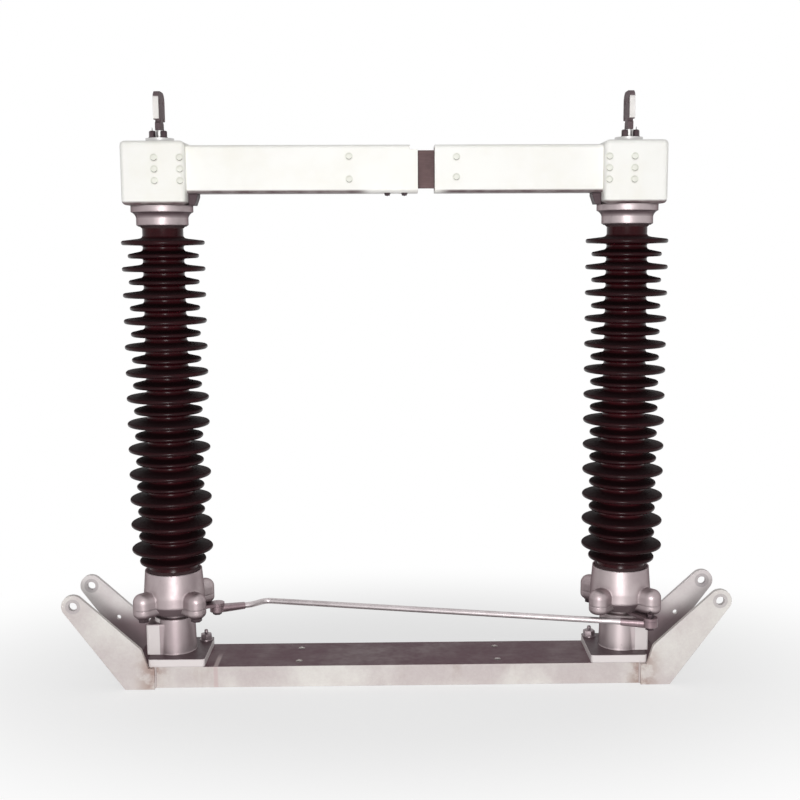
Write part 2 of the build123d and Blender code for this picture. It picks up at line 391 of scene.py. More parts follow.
@dataclass(frozen=True)
class Finish(ABC):
    """A surface finish, made once and shared by the pieces that have it."""

    name: str
    slot: Slot

    @abstractmethod
    def paint(self, board: SurfaceBoard) -> None:
        """Lay the finish's nodes on a board."""

    def material(self) -> bpy.types.Material:
        """The finish's material, built on its first use.

        Returns:
            The material.
        """
        known = bpy.data.materials.get(self.name)
        if known is None:
            board = SurfaceBoard(self.name)
            self.paint(board)
            known = board.material
        return known

    def dress(self, piece: Piece) -> None:
        """Give a piece this finish.

        Args:
            piece: The piece.
        """
        piece.data.materials.clear()
        piece.data.materials.append(self.material())


@dataclass(frozen=True)
class Glaze(Finish):
    """Brown glaze on porcelain: near black on the sheds, an oxblood tone on the core, painted shade on faces
    that look up, and dust that roughens them.
    """

    deep: Colour = screen(20, 5, 8)
    warm: Colour = screen(60, 11, 18)
    core_r: float = 0.06
    shed_r: float = 0.078
    shed_share: float = 0.4
    thick_share: float = 0.55
    pool_noise: Noise = (8.0, 2.0)
    run_noise: Noise = (5.0, 2.0)
    run_stretch: Triple = (6.0, 6.0, 0.7)
    run_share: float = 0.3
    top_shade_range: Span = (0.5, 0.95)
    top_shade_share: float = 0.7
    rough_noise: Noise = (60.0, 4.0)
    roughness: Span = (0.23, 0.3)
    dust_range: Span = (0.15, 0.6)
    dust_share: float = 0.5
    gloss: float = 0.13
    ripple_noise: Noise = (70.0, 2.0)
    ripple: float = 0.0001

    def paint(self, board: SurfaceBoard) -> None:
        """Lay the finish's nodes on a board.

        Args:
            board: The new material's board.
        """
        pool = board.grain(*self.pool_noise)
        runs = board.noise(*self.run_noise, where=board.stretched(self.run_stretch))
        runs = board.spread(runs, *NOISE_RANGE, self.run_share)
        thin = board.spread(board.times(pool, runs), 0.0, 1.0, self.thick_share)
        out = board.apart(Side.RIGHT.axis, AROUND_Z)
        core = board.spread(out, self.shed_r, self.core_r, self.shed_share)
        colour = board.blend(board.times(thin, core), self.deep, self.warm)
        up = board.facing(Axis.Z)
        # Painted shade: faces that look up are darkened towards the deep tone.
        colour = board.blend(board.spread(up, *self.top_shade_range, 0.0, self.top_shade_share), colour, self.deep)
        dusty = board.spread(up, *self.dust_range, 0.0, self.dust_share)
        rough = board.combine(Op.ADD, board.grain(*self.rough_noise, self.roughness), dusty)
        board.set(Base_Color=colour, Specular_IOR_Level=self.gloss, Roughness=rough)
        board.relief(board.noise(*self.ripple_noise), self.ripple)


@dataclass(frozen=True)
class SatinPaint(Finish):
    """White paint on aluminium: a fine orange peel, dark specks of grime, and painted shade on faces that
    look down, which is weaker near one place along x.
    """

    white: Colour = screen(250, 249, 245)
    warm: Colour = screen(245, 243, 235)
    patch_noise: Noise = (7.0, 4.0)
    patch_range: Span = (0.4, 0.72)
    patch_share: float = 0.8
    # A dark tone for the painted shade under faces that look down and for the specks of grime.
    shade_and_grime: Colour = screen(98, 80, 82)
    under_shade_noise: Noise = (30.0, 5.0)
    under_shade_cover: Span = (0.85, 1.0)
    under_shade_range: Span = (-0.05, -0.6)
    speck_noise: Noise = (140.0, 4.0)
    speck_range: Span = (0.7, 0.8)
    speck_share: float = 0.08
    shade_gap_x: Optional[float] = None
    shade_gap_reach: float = 0.08
    shade_gap_fade: float = 0.04
    shade_gap_share: float = 0.2
    rough_noise: Noise = (45.0, 3.0)
    roughness: Span = (0.4, 0.54)
    gloss: float = 0.3
    peel_noise: Noise = (420.0, 2.0)
    peel: float = 0.0001
    soft_edge: float = 0.0015

    def paint(self, board: SurfaceBoard) -> None:
        """Lay the finish's nodes on a board.

        Args:
            board: The new material's board.
        """
        patch = board.spread(board.noise(*self.patch_noise), *self.patch_range, 0.0, self.patch_share)
        colour = board.blend(patch, self.white, self.warm)
        # Painted shade: faces that look down are darkened, with a weaker share near one place along x.
        under = board.spread(board.facing(Axis.Z), *self.under_shade_range)
        under_shade = board.times(under, board.grain(*self.under_shade_noise, self.under_shade_cover))
        if self.shade_gap_x is not None:
            away = board.apart((self.shade_gap_x, 0.0, 0.0), ALONG_X, mirrored=False)
            reach = self.shade_gap_reach
            kept = board.spread(away, reach, reach + self.shade_gap_fade, self.shade_gap_share)
            under_shade = board.times(under_shade, kept)
        colour = board.blend(under_shade, colour, self.shade_and_grime)
        specks = board.spread(board.noise(*self.speck_noise), *self.speck_range, 0.0, self.speck_share)
        colour = board.blend(specks, colour, self.shade_and_grime)
        board.set(Base_Color=colour, Specular_IOR_Level=self.gloss,
                  Roughness=board.grain(*self.rough_noise, self.roughness))
        board.relief(board.noise(*self.peel_noise), self.peel, self.soft_edge)


@dataclass(frozen=True)
class Zinc(Finish):
    """Hot-dip galvanised steel: a faint spangle, soft bloom, brown stains, and painted shade by its two
    shares.
    """

    light: Colour = screen(228, 224, 219)
    dull: Colour = screen(202, 191, 190)
    flake_scale: float = 190.0
    flake_share: float = 0.14
    cloud_noise: Noise = (6.0, 4.0)
    cloud_range: Span = (0.35, 0.65)
    cloud_share: float = 0.8
    stain: Colour = screen(160, 132, 122)
    stain_noise: Noise = (9.0, 5.0, 0.62)
    stain_stretch: Triple = (1.0, 1.0, 0.5)
    stain_range: Span = (0.56, 0.78)
    stain_share: float = 0.32
    shade_and_grime: Colour = screen(104, 74, 83)
    top_shade_range: Span = (0.6, 0.95)
    top_shade_share: float = 0.0
    cover_noise: Noise = (9.0, 4.0)
    cover_range: Span = (0.25, 0.65)
    cover_least: float = 0.8
    front_range: Span = (-0.2, -0.8)
    low_shade_share: float = 0.0
    low_shade_range: Span = (0.185, 0.11)
    seam_share: float = 0.0
    seam_x: float = 0.64
    seam_inward: float = 0.05
    seam_outward: float = 0.07
    seam_range: Span = (0.13, 0.06)
    rust_noise: Noise = (26.0, 4.0, 0.6)
    rust_range: Span = (0.4, 0.6)
    rust_least: float = 0.2
    hole: Triple = (0.845, 0.0, 0.226)
    washer: Colour = screen(176, 168, 170)
    washer_range: Span = (0.021, 0.018)
    washer_share: float = 0.6
    streak_x: Optional[float] = None
    streak_range: Span = (0.008, 0.003)
    streak_end: Span = (0.02, -0.03)
    streak_share: float = 0.85
    streak: Colour = screen(205, 186, 185)
    metal: float = 0.08
    gloss: float = 0.3
    rough_noise: Noise = (70.0, 4.0)
    roughness: Span = (0.42, 0.56)
    grit_noise: Noise = (240.0, 3.0)
    grit: float = 0.00012
    soft_edge: float = 0.0012

    def paint(self, board: SurfaceBoard) -> None:
        """Lay the finish's nodes on a board.

        Args:
            board: The new material's board.
        """
        colour = self._spangle(board)
        if self.seam_share:
            colour = self._wear(board, colour)
        colour = self._paint_shade(board, colour)
        if self.streak_x is not None:
            away = board.apart((self.streak_x, 0.0, 0.0), ALONG_X, mirrored=False)
            reach = board.spread(board.along(Axis.Y), *self.streak_end, 0.0, self.streak_share)
            band = board.times(board.spread(away, *self.streak_range), reach)
            colour = board.blend(band, colour, self.streak)
        board.set(Base_Color=colour, Metallic=self.metal, Specular_IOR_Level=self.gloss,
                  Roughness=board.grain(*self.rough_noise, self.roughness))
        board.relief(board.noise(*self.grit_noise), self.grit, self.soft_edge)

    def _spangle(self, board: SurfaceBoard) -> Socket:
        """Lay the zinc itself: its crystals, its bloom and its brown runs.

        Args:
            board: The new material's board.

        Returns:
            The colour.
        """
        cell = board.add("ShaderNodeTexVoronoi")
        cell.inputs["Scale"].default_value = self.flake_scale
        board.join(board.place, cell.inputs["Vector"])
        grey = board.add("ShaderNodeSeparateColor")
        board.join(cell.outputs["Color"], grey.inputs["Color"])
        flake = board.spread(grey.outputs["Red"], 0.0, 1.0, 0.0, self.flake_share)
        cloud = board.spread(board.noise(*self.cloud_noise), *self.cloud_range, 0.0, self.cloud_share)
        colour = board.blend(board.combine(Op.ADD, flake, cloud), self.light, self.dull)
        runs = board.noise(*self.stain_noise, where=board.stretched(self.stain_stretch))
        return board.blend(board.spread(runs, *self.stain_range, 0.0, self.stain_share), colour, self.stain)

    def _wear(self, board: SurfaceBoard, colour: Socket) -> Socket:
        """Add the stains beside the ears' seams and the marks of washers round their holes.

        Args:
            board: The new material's board.
            colour: The colour so far.

        Returns:
            The colour.
        """
        out = board.apart(MIDDLE, ALONG_X)
        near = board.times(board.spread(out, self.seam_x - self.seam_inward, self.seam_x),
                           board.spread(out, self.seam_x + self.seam_outward, self.seam_x))
        near = board.times(near, board.spread(board.along(Axis.Z), *self.seam_range))
        rust = board.noise(*self.rust_noise)
        rust = board.spread(rust, *self.rust_range, self.rust_least, self.seam_share)
        colour = board.blend(board.times(near, rust), colour, self.stain)
        ring = board.spread(board.apart(self.hole, AROUND_Y), *self.washer_range, 0.0, self.washer_share)
        return board.blend(ring, colour, self.washer)

    def _paint_shade(self, board: SurfaceBoard, colour: Socket) -> Socket:
        """Add painted shade low on faces that look to the front, and on level tops.

        Args:
            board: The new material's board.
            colour: The colour so far.

        Returns:
            The colour.
        """
        if self.low_shade_share:
            # Painted shade on faces that look to the front, darker towards the bottom.
            low = board.spread(board.along(Axis.Z), *self.low_shade_range, 0.0, self.low_shade_share)
            inner = board.spread(board.facing(Axis.Y), *self.front_range)
            colour = board.blend(board.times(low, inner), colour, self.shade_and_grime)
        if self.top_shade_share:
            # Painted shade on faces that look up, a little patchy.
            up = board.spread(board.facing(Axis.Z), *self.top_shade_range, 0.0, self.top_shade_share)
            cover = board.spread(board.noise(*self.cover_noise), *self.cover_range, self.cover_least)
            colour = board.blend(board.times(up, cover), colour, self.shade_and_grime)
        return colour


@dataclass(frozen=True)
class CastSkin(Finish):
    """Sand-cast metal: a silvery sheen on mauve-grey with dark pits, painted shade below and at its rims,
    and on a foot painted shade on the ledge and a painted highlight on the flats.
    """

    light: Colour = screen(190, 178, 179)
    shade: Colour = screen(162, 147, 150)
    cloud_noise: Noise = (9.0, 4.0, 0.5)
    cloud_range: Span = (0.32, 0.7)
    cloud_share: float = 0.8
    shade_and_pit_tone: Colour = screen(78, 58, 64)
    under_shade_range: Span = (0.05, -0.7)
    under_shade_share: float = 0.8
    pit_noise: Noise = (60.0, 4.0, 0.6)
    pit_range: Span = (0.66, 0.82)
    pit_share: float = 0.3
    # A near-black edge tint that darkens the reflections towards the rims: painted shade.
    dark_rim_tint: Colour = (0.05, 0.01, 0.02)
    foot_top: Optional[float] = None
    ledge_range: Span = (0.007, 0.003)
    level_range: Span = (0.7, 0.95)
    ledge_shade_share: float = 0.9
    # A pale tone painted on the upright flats of the rib and the foot as a highlight.
    pale: Colour = screen(236, 229, 228)
    rib_x: float = 0.632
    rib_fade: float = 0.002
    flat_range: Span = (-0.0004, -0.0014)
    upright_range: Span = (0.5, 0.1)
    flat_highlight_share: float = 0.9
    metal: float = 0.88
    gloss: float = 0.3
    rough_noise: Noise = (80.0, 4.0)
    roughness: Span = (0.4, 0.48)
    grit_noise: Noise = (330.0, 4.0, 0.6)
    grit: float = 0.00015
    soft_edge: float = 0.006

    def paint(self, board: SurfaceBoard) -> None:
        """Lay the finish's nodes on a board.

        Args:
            board: The new material's board.
        """
        cloud = board.spread(board.noise(*self.cloud_noise), *self.cloud_range, 0.0, self.cloud_share)
        colour = board.blend(cloud, self.light, self.shade)
        # Painted shade: faces that look down darken towards the dark tone, which also marks the pits.
        down = board.spread(board.facing(Axis.Z), *self.under_shade_range, 0.0, self.under_shade_share)
        pits = board.spread(board.noise(*self.pit_noise), *self.pit_range, 0.0, self.pit_share)
        colour = board.blend(down, colour, self.shade_and_pit_tone)
        colour = board.blend(pits, colour, self.shade_and_pit_tone)
        metal = board.spread(down, 0.0, 1.0, self.metal, self.metal / 2)
        if self.foot_top is not None:
            # On a foot: painted shade on the top ledge, and a painted highlight on the upright flats.
            for share, tone in ((self._ledge_shade(board), self.shade_and_pit_tone), (self._flat_highlight(board), self.pale)):
                colour = board.blend(share, colour, tone)
                metal = board.combine(Op.SUBTRACT, metal, share)
        board.set(Base_Color=colour, Metallic=metal, Specular_IOR_Level=self.gloss, Specular_Tint=self.dark_rim_tint,
                  Roughness=board.grain(*self.rough_noise, self.roughness))
        board.relief(board.noise(*self.grit_noise), self.grit, self.soft_edge)

    def _ledge_shade(self, board: SurfaceBoard) -> Socket:
        """How much painted shade lies on the top of the foot.

        Args:
            board: The new material's board.

        Returns:
            The share of the painted shade.
        """
        start, full = (self.foot_top + reach for reach in self.ledge_range)
        low = board.spread(board.along(Axis.Z), start, full, 0.0, self.ledge_shade_share)
        return board.times(board.spread(board.facing(Axis.Z), *self.level_range), low)

    def _flat_highlight(self, board: SurfaceBoard) -> Socket:
        """How much painted highlight lies on the upright flat sides of the rib and the foot.

        Args:
            board: The new material's board.

        Returns:
            The share of the pale tone, a painted highlight.
        """
        rib = board.spread(board.apart(MIDDLE, ALONG_X), self.rib_x, self.rib_x + self.rib_fade)
        start, full = (self.foot_top + reach for reach in self.flat_range)
        foot = board.spread(board.along(Axis.Z), start, full)
        upright = board.spread(board.facing(Axis.Z), *self.upright_range, 0.0, self.flat_highlight_share)
        return board.times(board.combine(Op.MAXIMUM, rib, foot), upright)


@dataclass(frozen=True)
class BareMetal(Finish):
    """Drawn or machined metal: fine lines along one axis, a thin tarnish, and a painted highlight on the
    faces past edge_y.
    """

    light: Colour = screen(142, 128, 131)
    dark: Colour = screen(100, 84, 88)
    lines: Triple = (1.0, 1.0, 18.0)
    line_noise: Noise = (60.0, 4.0, 0.6)
    line_range: Span = (0.3, 0.75)
    line_share: float = 0.3
    tarnish_noise: Noise = (14.0, 4.0, 0.6)
    tarnish_range: Span = (0.4, 0.75)
    tarnish_share: float = 0.6
    metal: float = 0.85
    shine: float = 0.3
    shine_spread: float = 0.14
    gloss: float = 0.3
    edge_y: Optional[float] = None
    edge_fade: float = 0.002
    edge_highlight: Colour = screen(240, 236, 233)
    scratch: float = 0.00008
    soft_edge: float = 0.001

    def paint(self, board: SurfaceBoard) -> None:
        """Lay the finish's nodes on a board.

        Args:
            board: The new material's board.
        """
        brush = board.noise(*self.line_noise, where=board.stretched(self.lines))
        lines = board.spread(brush, *self.line_range, 0.0, self.line_share)
        colour = board.blend(lines, self.light, self.dark)
        tarnish = board.noise(*self.tarnish_noise)
        tarnish = board.spread(tarnish, *self.tarnish_range, 0.0, self.tarnish_share)
        colour = board.blend(tarnish, colour, self.dark)
        # Painted highlight: the faces beyond edge_y from the middle turn pale.
        if self.edge_y is not None:
            edge_highlight = board.spread(board.apart(MIDDLE, ALONG_Y), self.edge_y, self.edge_y + self.edge_fade)
            colour = board.blend(edge_highlight, colour, self.edge_highlight)
        board.set(Base_Color=colour, Metallic=self.metal, Specular_IOR_Level=self.gloss,
                  Roughness=board.spread(brush, *NOISE_RANGE, self.shine, self.shine + self.shine_spread))
        board.relief(brush, self.scratch, self.soft_edge)


@dataclass(frozen=True)
class Mortar(Finish):
    """Cement that holds a post in its casting, gritty, in a dark tone that is painted shade."""

    light: Colour = screen(74, 52, 54)
    dark: Colour = screen(42, 26, 29)
    grit_noise: Noise = (420.0, 5.0, 0.7)
    grit_range: Span = (0.35, 0.7)
    roughness: float = 0.9
    depth: float = 0.0004

    def paint(self, board: SurfaceBoard) -> None:
        """Lay the finish's nodes on a board.

        Args:
            board: The new material's board.
        """
        grit = board.noise(*self.grit_noise)
        colour = board.blend(board.spread(grit, *self.grit_range), self.light, self.dark)
        board.set(Base_Color=colour, Roughness=self.roughness)
        board.relief(grit, self.depth)


ANY_WAY = (1.0, 1.0, 1.0)
LENGTHWISE = (18.0, 1.0, 1.0)
GLAZE = Glaze("glaze", Slot.GLAZE)
PAINT = SatinPaint("white_satin_paint", Slot.PAINT)
# On the arms the painted shade underneath is weaker near the break.
ARM_PAINT = SatinPaint("white_paint_on_arms", Slot.PAINT, shade_gap_x=0.02)
BOLT_PAINT = SatinPaint("painted_bolts", Slot.PAINT, white=screen(238, 238, 229), warm=screen(233, 233, 222))
ZINC = Zinc("zinc_on_plate", Slot.ZINC, seam_share=0.85)
# The rear plates' zinc is painted lighter than the front plates' to lift the front ears' shadow, and painted
# shade darkens the low part of their front faces.
ZINC_REAR_LIT_AND_SHADED = Zinc("zinc_on_rear_plate_lit_and_shaded", Slot.ZINC, light=screen(242, 239, 236), dull=screen(224, 215, 215),
                 shade_and_grime=screen(112, 86, 94), low_shade_share=0.85, seam_share=0.5)
# The channel's web carries painted shade on its tops.
ZINC_WEB = Zinc("zinc_on_channel", Slot.ZINC, top_shade_share=0.97, stain_share=0.4, seam_share=0.85,
                streak_x=-0.481, metal=0.0, gloss=0.1)
WELD = Zinc("zinc_on_weld", Slot.ZINC, light=screen(206, 197, 195), dull=screen(168, 154, 153),
            stain_share=0.5)
ZINC_ROD = BareMetal("zinc_on_rod", Slot.ZINC, light=screen(200, 192, 193), dark=screen(164, 154, 156),
                     lines=LENGTHWISE, metal=0.8, shine=0.32)
# A darker copy of the rod's zinc for its eyes and the cranks: painted shade.
SHADED_ZINC_EYE = BareMetal("zinc_on_eye_in_painted_shade", Slot.ZINC, light=screen(150, 132, 136), dark=screen(112, 93, 98),
                     lines=LENGTHWISE, metal=0.8, shine=0.34)
NUT_STEEL = BareMetal("zinc_on_nuts", Slot.ZINC, light=screen(156, 144, 147), dark=screen(92, 78, 82),
                      lines=ANY_WAY, metal=0.8, shine=0.34)
DARK_STEEL = BareMetal("dark_bolt_steel", Slot.ZINC, light=screen(84, 70, 74), dark=screen(52, 41, 45),
                       lines=ANY_WAY, metal=0.7, shine=0.34)
CAST = CastSkin("cast_skin", Slot.CAST)
# The housing's foot gets painted shade on its top, and a painted highlight on its flats and on the rib.
CAST_FOOT = CastSkin("cast_housing", Slot.CAST, foot_top=0.077)
CAST_DARK = CastSkin("cast_bracket", Slot.CAST, light=screen(90, 78, 81), shade=screen(72, 61, 64),
                     metal=0.3)
BARE = BareMetal("bare_aluminium", Slot.BARE)
# The pads: dark mauve, with a pale painted highlight on their faces front and back.
PAD = BareMetal("tarnished_pad", Slot.BARE, light=screen(122, 107, 110), dark=screen(84, 70, 73), metal=0.0,
                shine=0.45, gloss=0.04, edge_y=0.0385)
CONTACT = BareMetal("tarnished_contact", Slot.CONTACT, light=screen(92, 71, 71), dark=screen(56, 42, 44),
                    metal=0.35, shine=0.42)
# The mortar's dark maroon is painted shade.
SHADED_MORTAR = Mortar("mortar_in_painted_shade", Slot.CAST)


class Bench:
    """Modelling moves, made on one piece at a time as by hand."""

    UPWARD: ClassVar[float] = 0.9
    LEVEL: ClassVar[float] = 1e-6
    MERGE: ClassVar[float] = 1e-5
    SEED_SIZE: ClassVar[float] = 0.002

    @staticmethod
    def clear() -> None:
        """Leave edit mode and drop the whole selection."""
        if bpy.context.object and bpy.context.object.mode != "OBJECT":
            bpy.ops.object.mode_set(mode="OBJECT")
        bpy.ops.object.select_all(action="DESELECT")

    @staticmethod
    def edit() -> None:
        """Open the active piece for editing by its points, with all of it selected."""
        bpy.ops.object.mode_set(mode="EDIT")
        bpy.ops.mesh.select_mode(type="VERT")
        bpy.ops.mesh.select_all(action="SELECT")

    @staticmethod
    def pick(test: Callable[[bmesh.types.BMFace], bool]) -> None:
        """Select only the faces of the open piece that pass a test.

        Args:
            test: Tells whether a face is selected.
        """
        bpy.ops.mesh.select_mode(type="FACE")
        bpy.ops.mesh.select_all(action="DESELECT")
        mesh = bpy.context.object.data
        faces = bmesh.from_edit_mesh(mesh).faces
        for face in faces:
            face.select_set(test(face))
        bmesh.update_edit_mesh(mesh)

    @staticmethod
    def pick_top() -> None:
        """Select the highest face that looks up."""
        faces = bmesh.from_edit_mesh(bpy.context.object.data).faces
        top = max(face.calc_center_median().z for face in faces if face.normal.z > Bench.UPWARD)
        level = top - Bench.LEVEL
        Bench.pick(lambda face: face.normal.z > Bench.UPWARD and face.calc_center_median().z > level)

    @staticmethod
    def done(name: str, angle: float = 35.0) -> Piece:
        """Close the active piece: its place goes into its mesh, and it is shaded smooth.

        Args:
            name: The piece's name.
            angle: Edges sharper than this stay sharp, in degrees.

        Returns:
            The piece.
        """
        if bpy.context.object.mode != "OBJECT":
            bpy.ops.object.mode_set(mode="OBJECT")
        piece = bpy.context.object
        piece.select_set(True)
        bpy.ops.object.transform_apply(location=True, rotation=True, scale=True)
        bpy.ops.object.shade_smooth_by_angle(angle=math.radians(angle))
        piece.name = name
        piece.data.name = name
        return piece

    @staticmethod
    def lathe(name: str, profile: Sequence[Point], axis: Vector, steps: int,
              angle: float = 50.0) -> Piece:
        """Draw a profile point by point and spin it about an upright axis.

        Args:
            name: The piece's name.
            profile: Radius and height of each point, in metres.
            axis: A point on the axis.
            steps: How many steps the spin has.
            angle: Edges sharper than this stay sharp, in degrees.

        Returns:
            The piece.
        """
        Bench.clear()
        radius, height = profile[0]
        bpy.ops.mesh.primitive_plane_add(size=Bench.SEED_SIZE, location=(axis.x + radius, axis.y, height))
        Bench.edit()
        bpy.ops.mesh.merge(type="CENTER")
        for start, end in zip(profile, profile[1:]):
            step = (end[0] - start[0], 0.0, end[1] - start[1])
            bpy.ops.mesh.extrude_vertices_move(TRANSFORM_OT_translate={"value": step})
        bpy.ops.mesh.select_all(action="SELECT")
        bpy.ops.mesh.spin(steps=steps, angle=math.tau, center=(axis.x, axis.y, 0.0), axis=(0.0, 0.0, 1.0))
        bpy.ops.mesh.select_all(action="SELECT")
        bpy.ops.mesh.remove_doubles(threshold=Bench.MERGE)
        bpy.ops.mesh.normals_make_consistent(inside=False)
        return Bench.done(name, angle)

    @staticmethod
    def join(pieces: Sequence[Piece], name: str) -> Piece:
        """Join pieces into the first one.

        Args:
            pieces: The pieces.
            name: The joined piece's name.

        Returns:
            The joined piece.
        """
        Bench.clear()
        for piece in pieces:
            piece.select_set(True)
        bpy.context.view_layer.objects.active = pieces[0]
        if len(pieces) > 1:
            bpy.ops.object.join()
        pieces[0].name = name
        pieces[0].data.name = name
        return pieces[0]

    @staticmethod
    def repeat(pattern: Piece, places: Iterable[Matrix], name: str) -> Piece:
        """Copy a pattern to several places, join the copies, and drop the pattern.

        Args:
            pattern: The modelled pattern, at the origin.
            places: Where each copy goes.
            name: The joined piece's name.

        Returns:
            The joined piece.
        """
        copies = []
        for place in places:
            copy = pattern.copy()
            copy.data = pattern.data.copy()
            copy.data.transform(place)
            bpy.context.scene.collection.objects.link(copy)
            copies.append(copy)
        bpy.data.objects.remove(pattern)
        return Bench.join(copies, name)


def upright_at(place: Vector, turn: float = 0.0) -> Matrix:
    """A place for a pattern that points up.

    Args:
        place: Where its foot goes.
        turn: Its turn about its own axis, in degrees.

    Returns:
        The placing matrix.
    """
    return Matrix.Translation(place) @ Matrix.Rotation(math.radians(turn), 4, "Z")


def pointing(place: Vector, direction: Vector, turn: float = 0.0) -> Matrix:
    """A place for a pattern whose own up goes along a direction.

    Args:
        place: Where its foot goes.
        direction: Where its up goes.
        turn: Its turn about its own axis, in degrees.

    Returns:
        The placing matrix.
    """
    lean = direction.to_track_quat("Z", "Y").to_matrix().to_4x4()
    return Matrix.Translation(place) @ lean @ Matrix.Rotation(math.radians(turn), 4, "Z")


def put_on(piece: Piece, body: str, finish: Finish) -> Piece:
    """Dress a finished piece and let it move with a body.

    Args:
        piece: The piece.
        body: The body that it rides on.
        finish: Its finish.

    Returns:
        The piece.
    """
    finish.dress(piece)
    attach(piece, body)
    LOG.info("%s rides on %s: %d faces", piece.name, body, len(piece.data.polygons))
    return piece


@dataclass(frozen=True)
class Fastener:
    """A bolt head or nut with its washer, standing on the origin and pointing up."""

    head_r: float = 0.011
    head_height: float = 0.008
    washer_r: float = 0.0125
    washer_height: float = 0.002
    tip_r: float = 0.006
    tip_height: float = 0.004
    corners: int = 6
    washer_corners: int = 20
    chamfer: float = 0.22
    tip_chamfer: float = 0.35

    def model(self) -> Piece:
        """Model the washer, the head with its chamfer, and the end of the thread.

        Returns:
            The fastener, at the origin.
        """
        washer = self._disc(self.washer_corners, self.washer_r, 0.0, self.washer_height)
        head = self._disc(self.corners, self.head_r, self.washer_height, self.head_height)
        Bench.clear()
        bpy.context.view_layer.objects.active = head
        Bench.edit()
        Bench.pick_top()
        bpy.ops.mesh.inset(thickness=self.head_r - self.tip_r)
        bpy.ops.mesh.extrude_region_move(TRANSFORM_OT_translate={"value": (0.0, 0.0, self.tip_height)})
        bpy.ops.mesh.bevel(offset=self.tip_height * self.tip_chamfer, segments=2)
        Bench.clear()
        return Bench.join([head, washer], "fastener")

    def _disc(self, corners: int, radius: float, bottom: float, height: float) -> Piece:
        """Model a disc with a bevelled top edge.

        Args:
            corners: How many sides it has.
            radius: Its radius.
            bottom: The height of its underside.
            height: Its thickness.

        Returns:
            The disc.
        """
        Bench.clear()
        bpy.ops.mesh.primitive_cylinder_add(vertices=corners, radius=radius, depth=height,
                                            location=(0.0, 0.0, bottom + height / 2))
        Bench.edit()
        Bench.pick_top()
        bpy.ops.mesh.bevel(offset=height * self.chamfer, segments=2)
        return Bench.done("disc", angle=30.0)


@dataclass(frozen=True)
class RoundHead:
    """A low round bolt head under paint, standing on the origin and pointing up."""

    radius: float = 0.0078
    height: float = 0.0026
    seat_r: float = 0.0098
    seat_height: float = 0.001
    corners: int = 20
    dome: float = 0.6

    def model(self) -> Piece:
        """Model the seat and the domed head in one.

        Returns:
            The head, at the origin.
        """
        Bench.clear()
        bpy.ops.mesh.primitive_cylinder_add(vertices=self.corners, radius=self.seat_r,
                                            depth=self.seat_height,
                                            location=(0.0, 0.0, self.seat_height / 2))
        Bench.edit()
        Bench.pick_top()
        bpy.ops.mesh.inset(thickness=self.seat_r - self.radius)
        bpy.ops.mesh.extrude_region_move(TRANSFORM_OT_translate={"value": (0.0, 0.0, self.height)})
        bpy.ops.mesh.bevel(offset=self.height * self.dome, segments=4)
        return Bench.done("round_head", angle=40.0)


class SceneStep(ABC):
    """One step in building the scene."""

    @abstractmethod
    def build(self) -> None:
        """Do the step."""


@dataclass
class ShedPost(SceneStep):
    """A porcelain post: smooth sheds with round lips on a tapering core."""

    side: Side
    bottom: float = 0.2448
    cup_top: float = 0.2978
    first_shed: float = 0.3238
    pairs: int = 13
    pitch: float = 0.0671
    lip: float = 0.012
    rise: float = 0.006
    drip: float = 0.002
    long_r: float = 0.106
    short_bottom_r: float = 0.087
    short_top_r: float = 0.0905
    core_bottom_r: float = 0.058
    core_top_r: float = 0.052
    foot_r: float = 0.067
    head_r: float = 0.052
    neck: float = 0.041
    pocket: float = 0.033
    under_root: Outline = ((0.0, -0.003), (0.0012, -0.0006), (0.005, 0.0006))
    over_root: Outline = ((0.012, -0.00168), (0.005, -0.00012), (0.0015, 0.0022), (0.0, 0.0055))
    lip_step: int = 18
    axis_gap: float = 1e-4
    steps: int = 112
    smooth: float = 65.0

    def profile(self) -> list[Point]:
        """The outline from the foot to the head.

        Returns:
            Radius and height of each point.
        """
        outline = [(self.axis_gap, self.bottom), (self.foot_r, self.bottom), (self.foot_r, self.cup_top)]
        count = 2 * self.pairs
        step = self.pitch / 2
        for index in range(count):
            share = index / (count - 1)
            height = self.first_shed + index * step
            short_r = self.short_bottom_r + (self.short_top_r - self.short_bottom_r) * share
            tip = self.long_r if index % 2 else short_r
            core = self.core_bottom_r + (self.core_top_r - self.core_bottom_r) * share
            outline += self._shed(height, tip, core)
        top = self.first_shed + (count - 1) * step + self.neck
        outline += [(self.head_r, top), (self.head_r, top + self.pocket)]
        return outline + [(self.axis_gap, top + self.pocket)]

    def _shed(self, height: float, tip: float, core: float) -> list[Point]:
        """One shed's outline, from the core under it to the core above it.

        Args:
            height: The height of its lip.
            tip: Its radius at the lip.
            core: The core's radius at the shed.

        Returns:
            Its points.
        """
        half = self.lip / 2
        below, above = height - half - self.drip, height + half + self.rise
        points = [(core + out, below + up) for out, up in self.under_root]
        for turn in range(-90, 91, self.lip_step):
            bow = math.radians(turn)
            points.append((tip - half + half * math.cos(bow), height + half * math.sin(bow)))
        return points + [(core + out, above + up) for out, up in self.over_root]

    def build(self) -> None:
        """Turn the post and put it on its column in place of its solid."""
        name = f"{self.side.word}_porcelain"
        post = Bench.lathe(name, self.profile(), self.side.axis, self.steps, self.smooth)
        put_on(post, self.side.column, GLAZE)
        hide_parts(f"{self.side.word}_insulator")


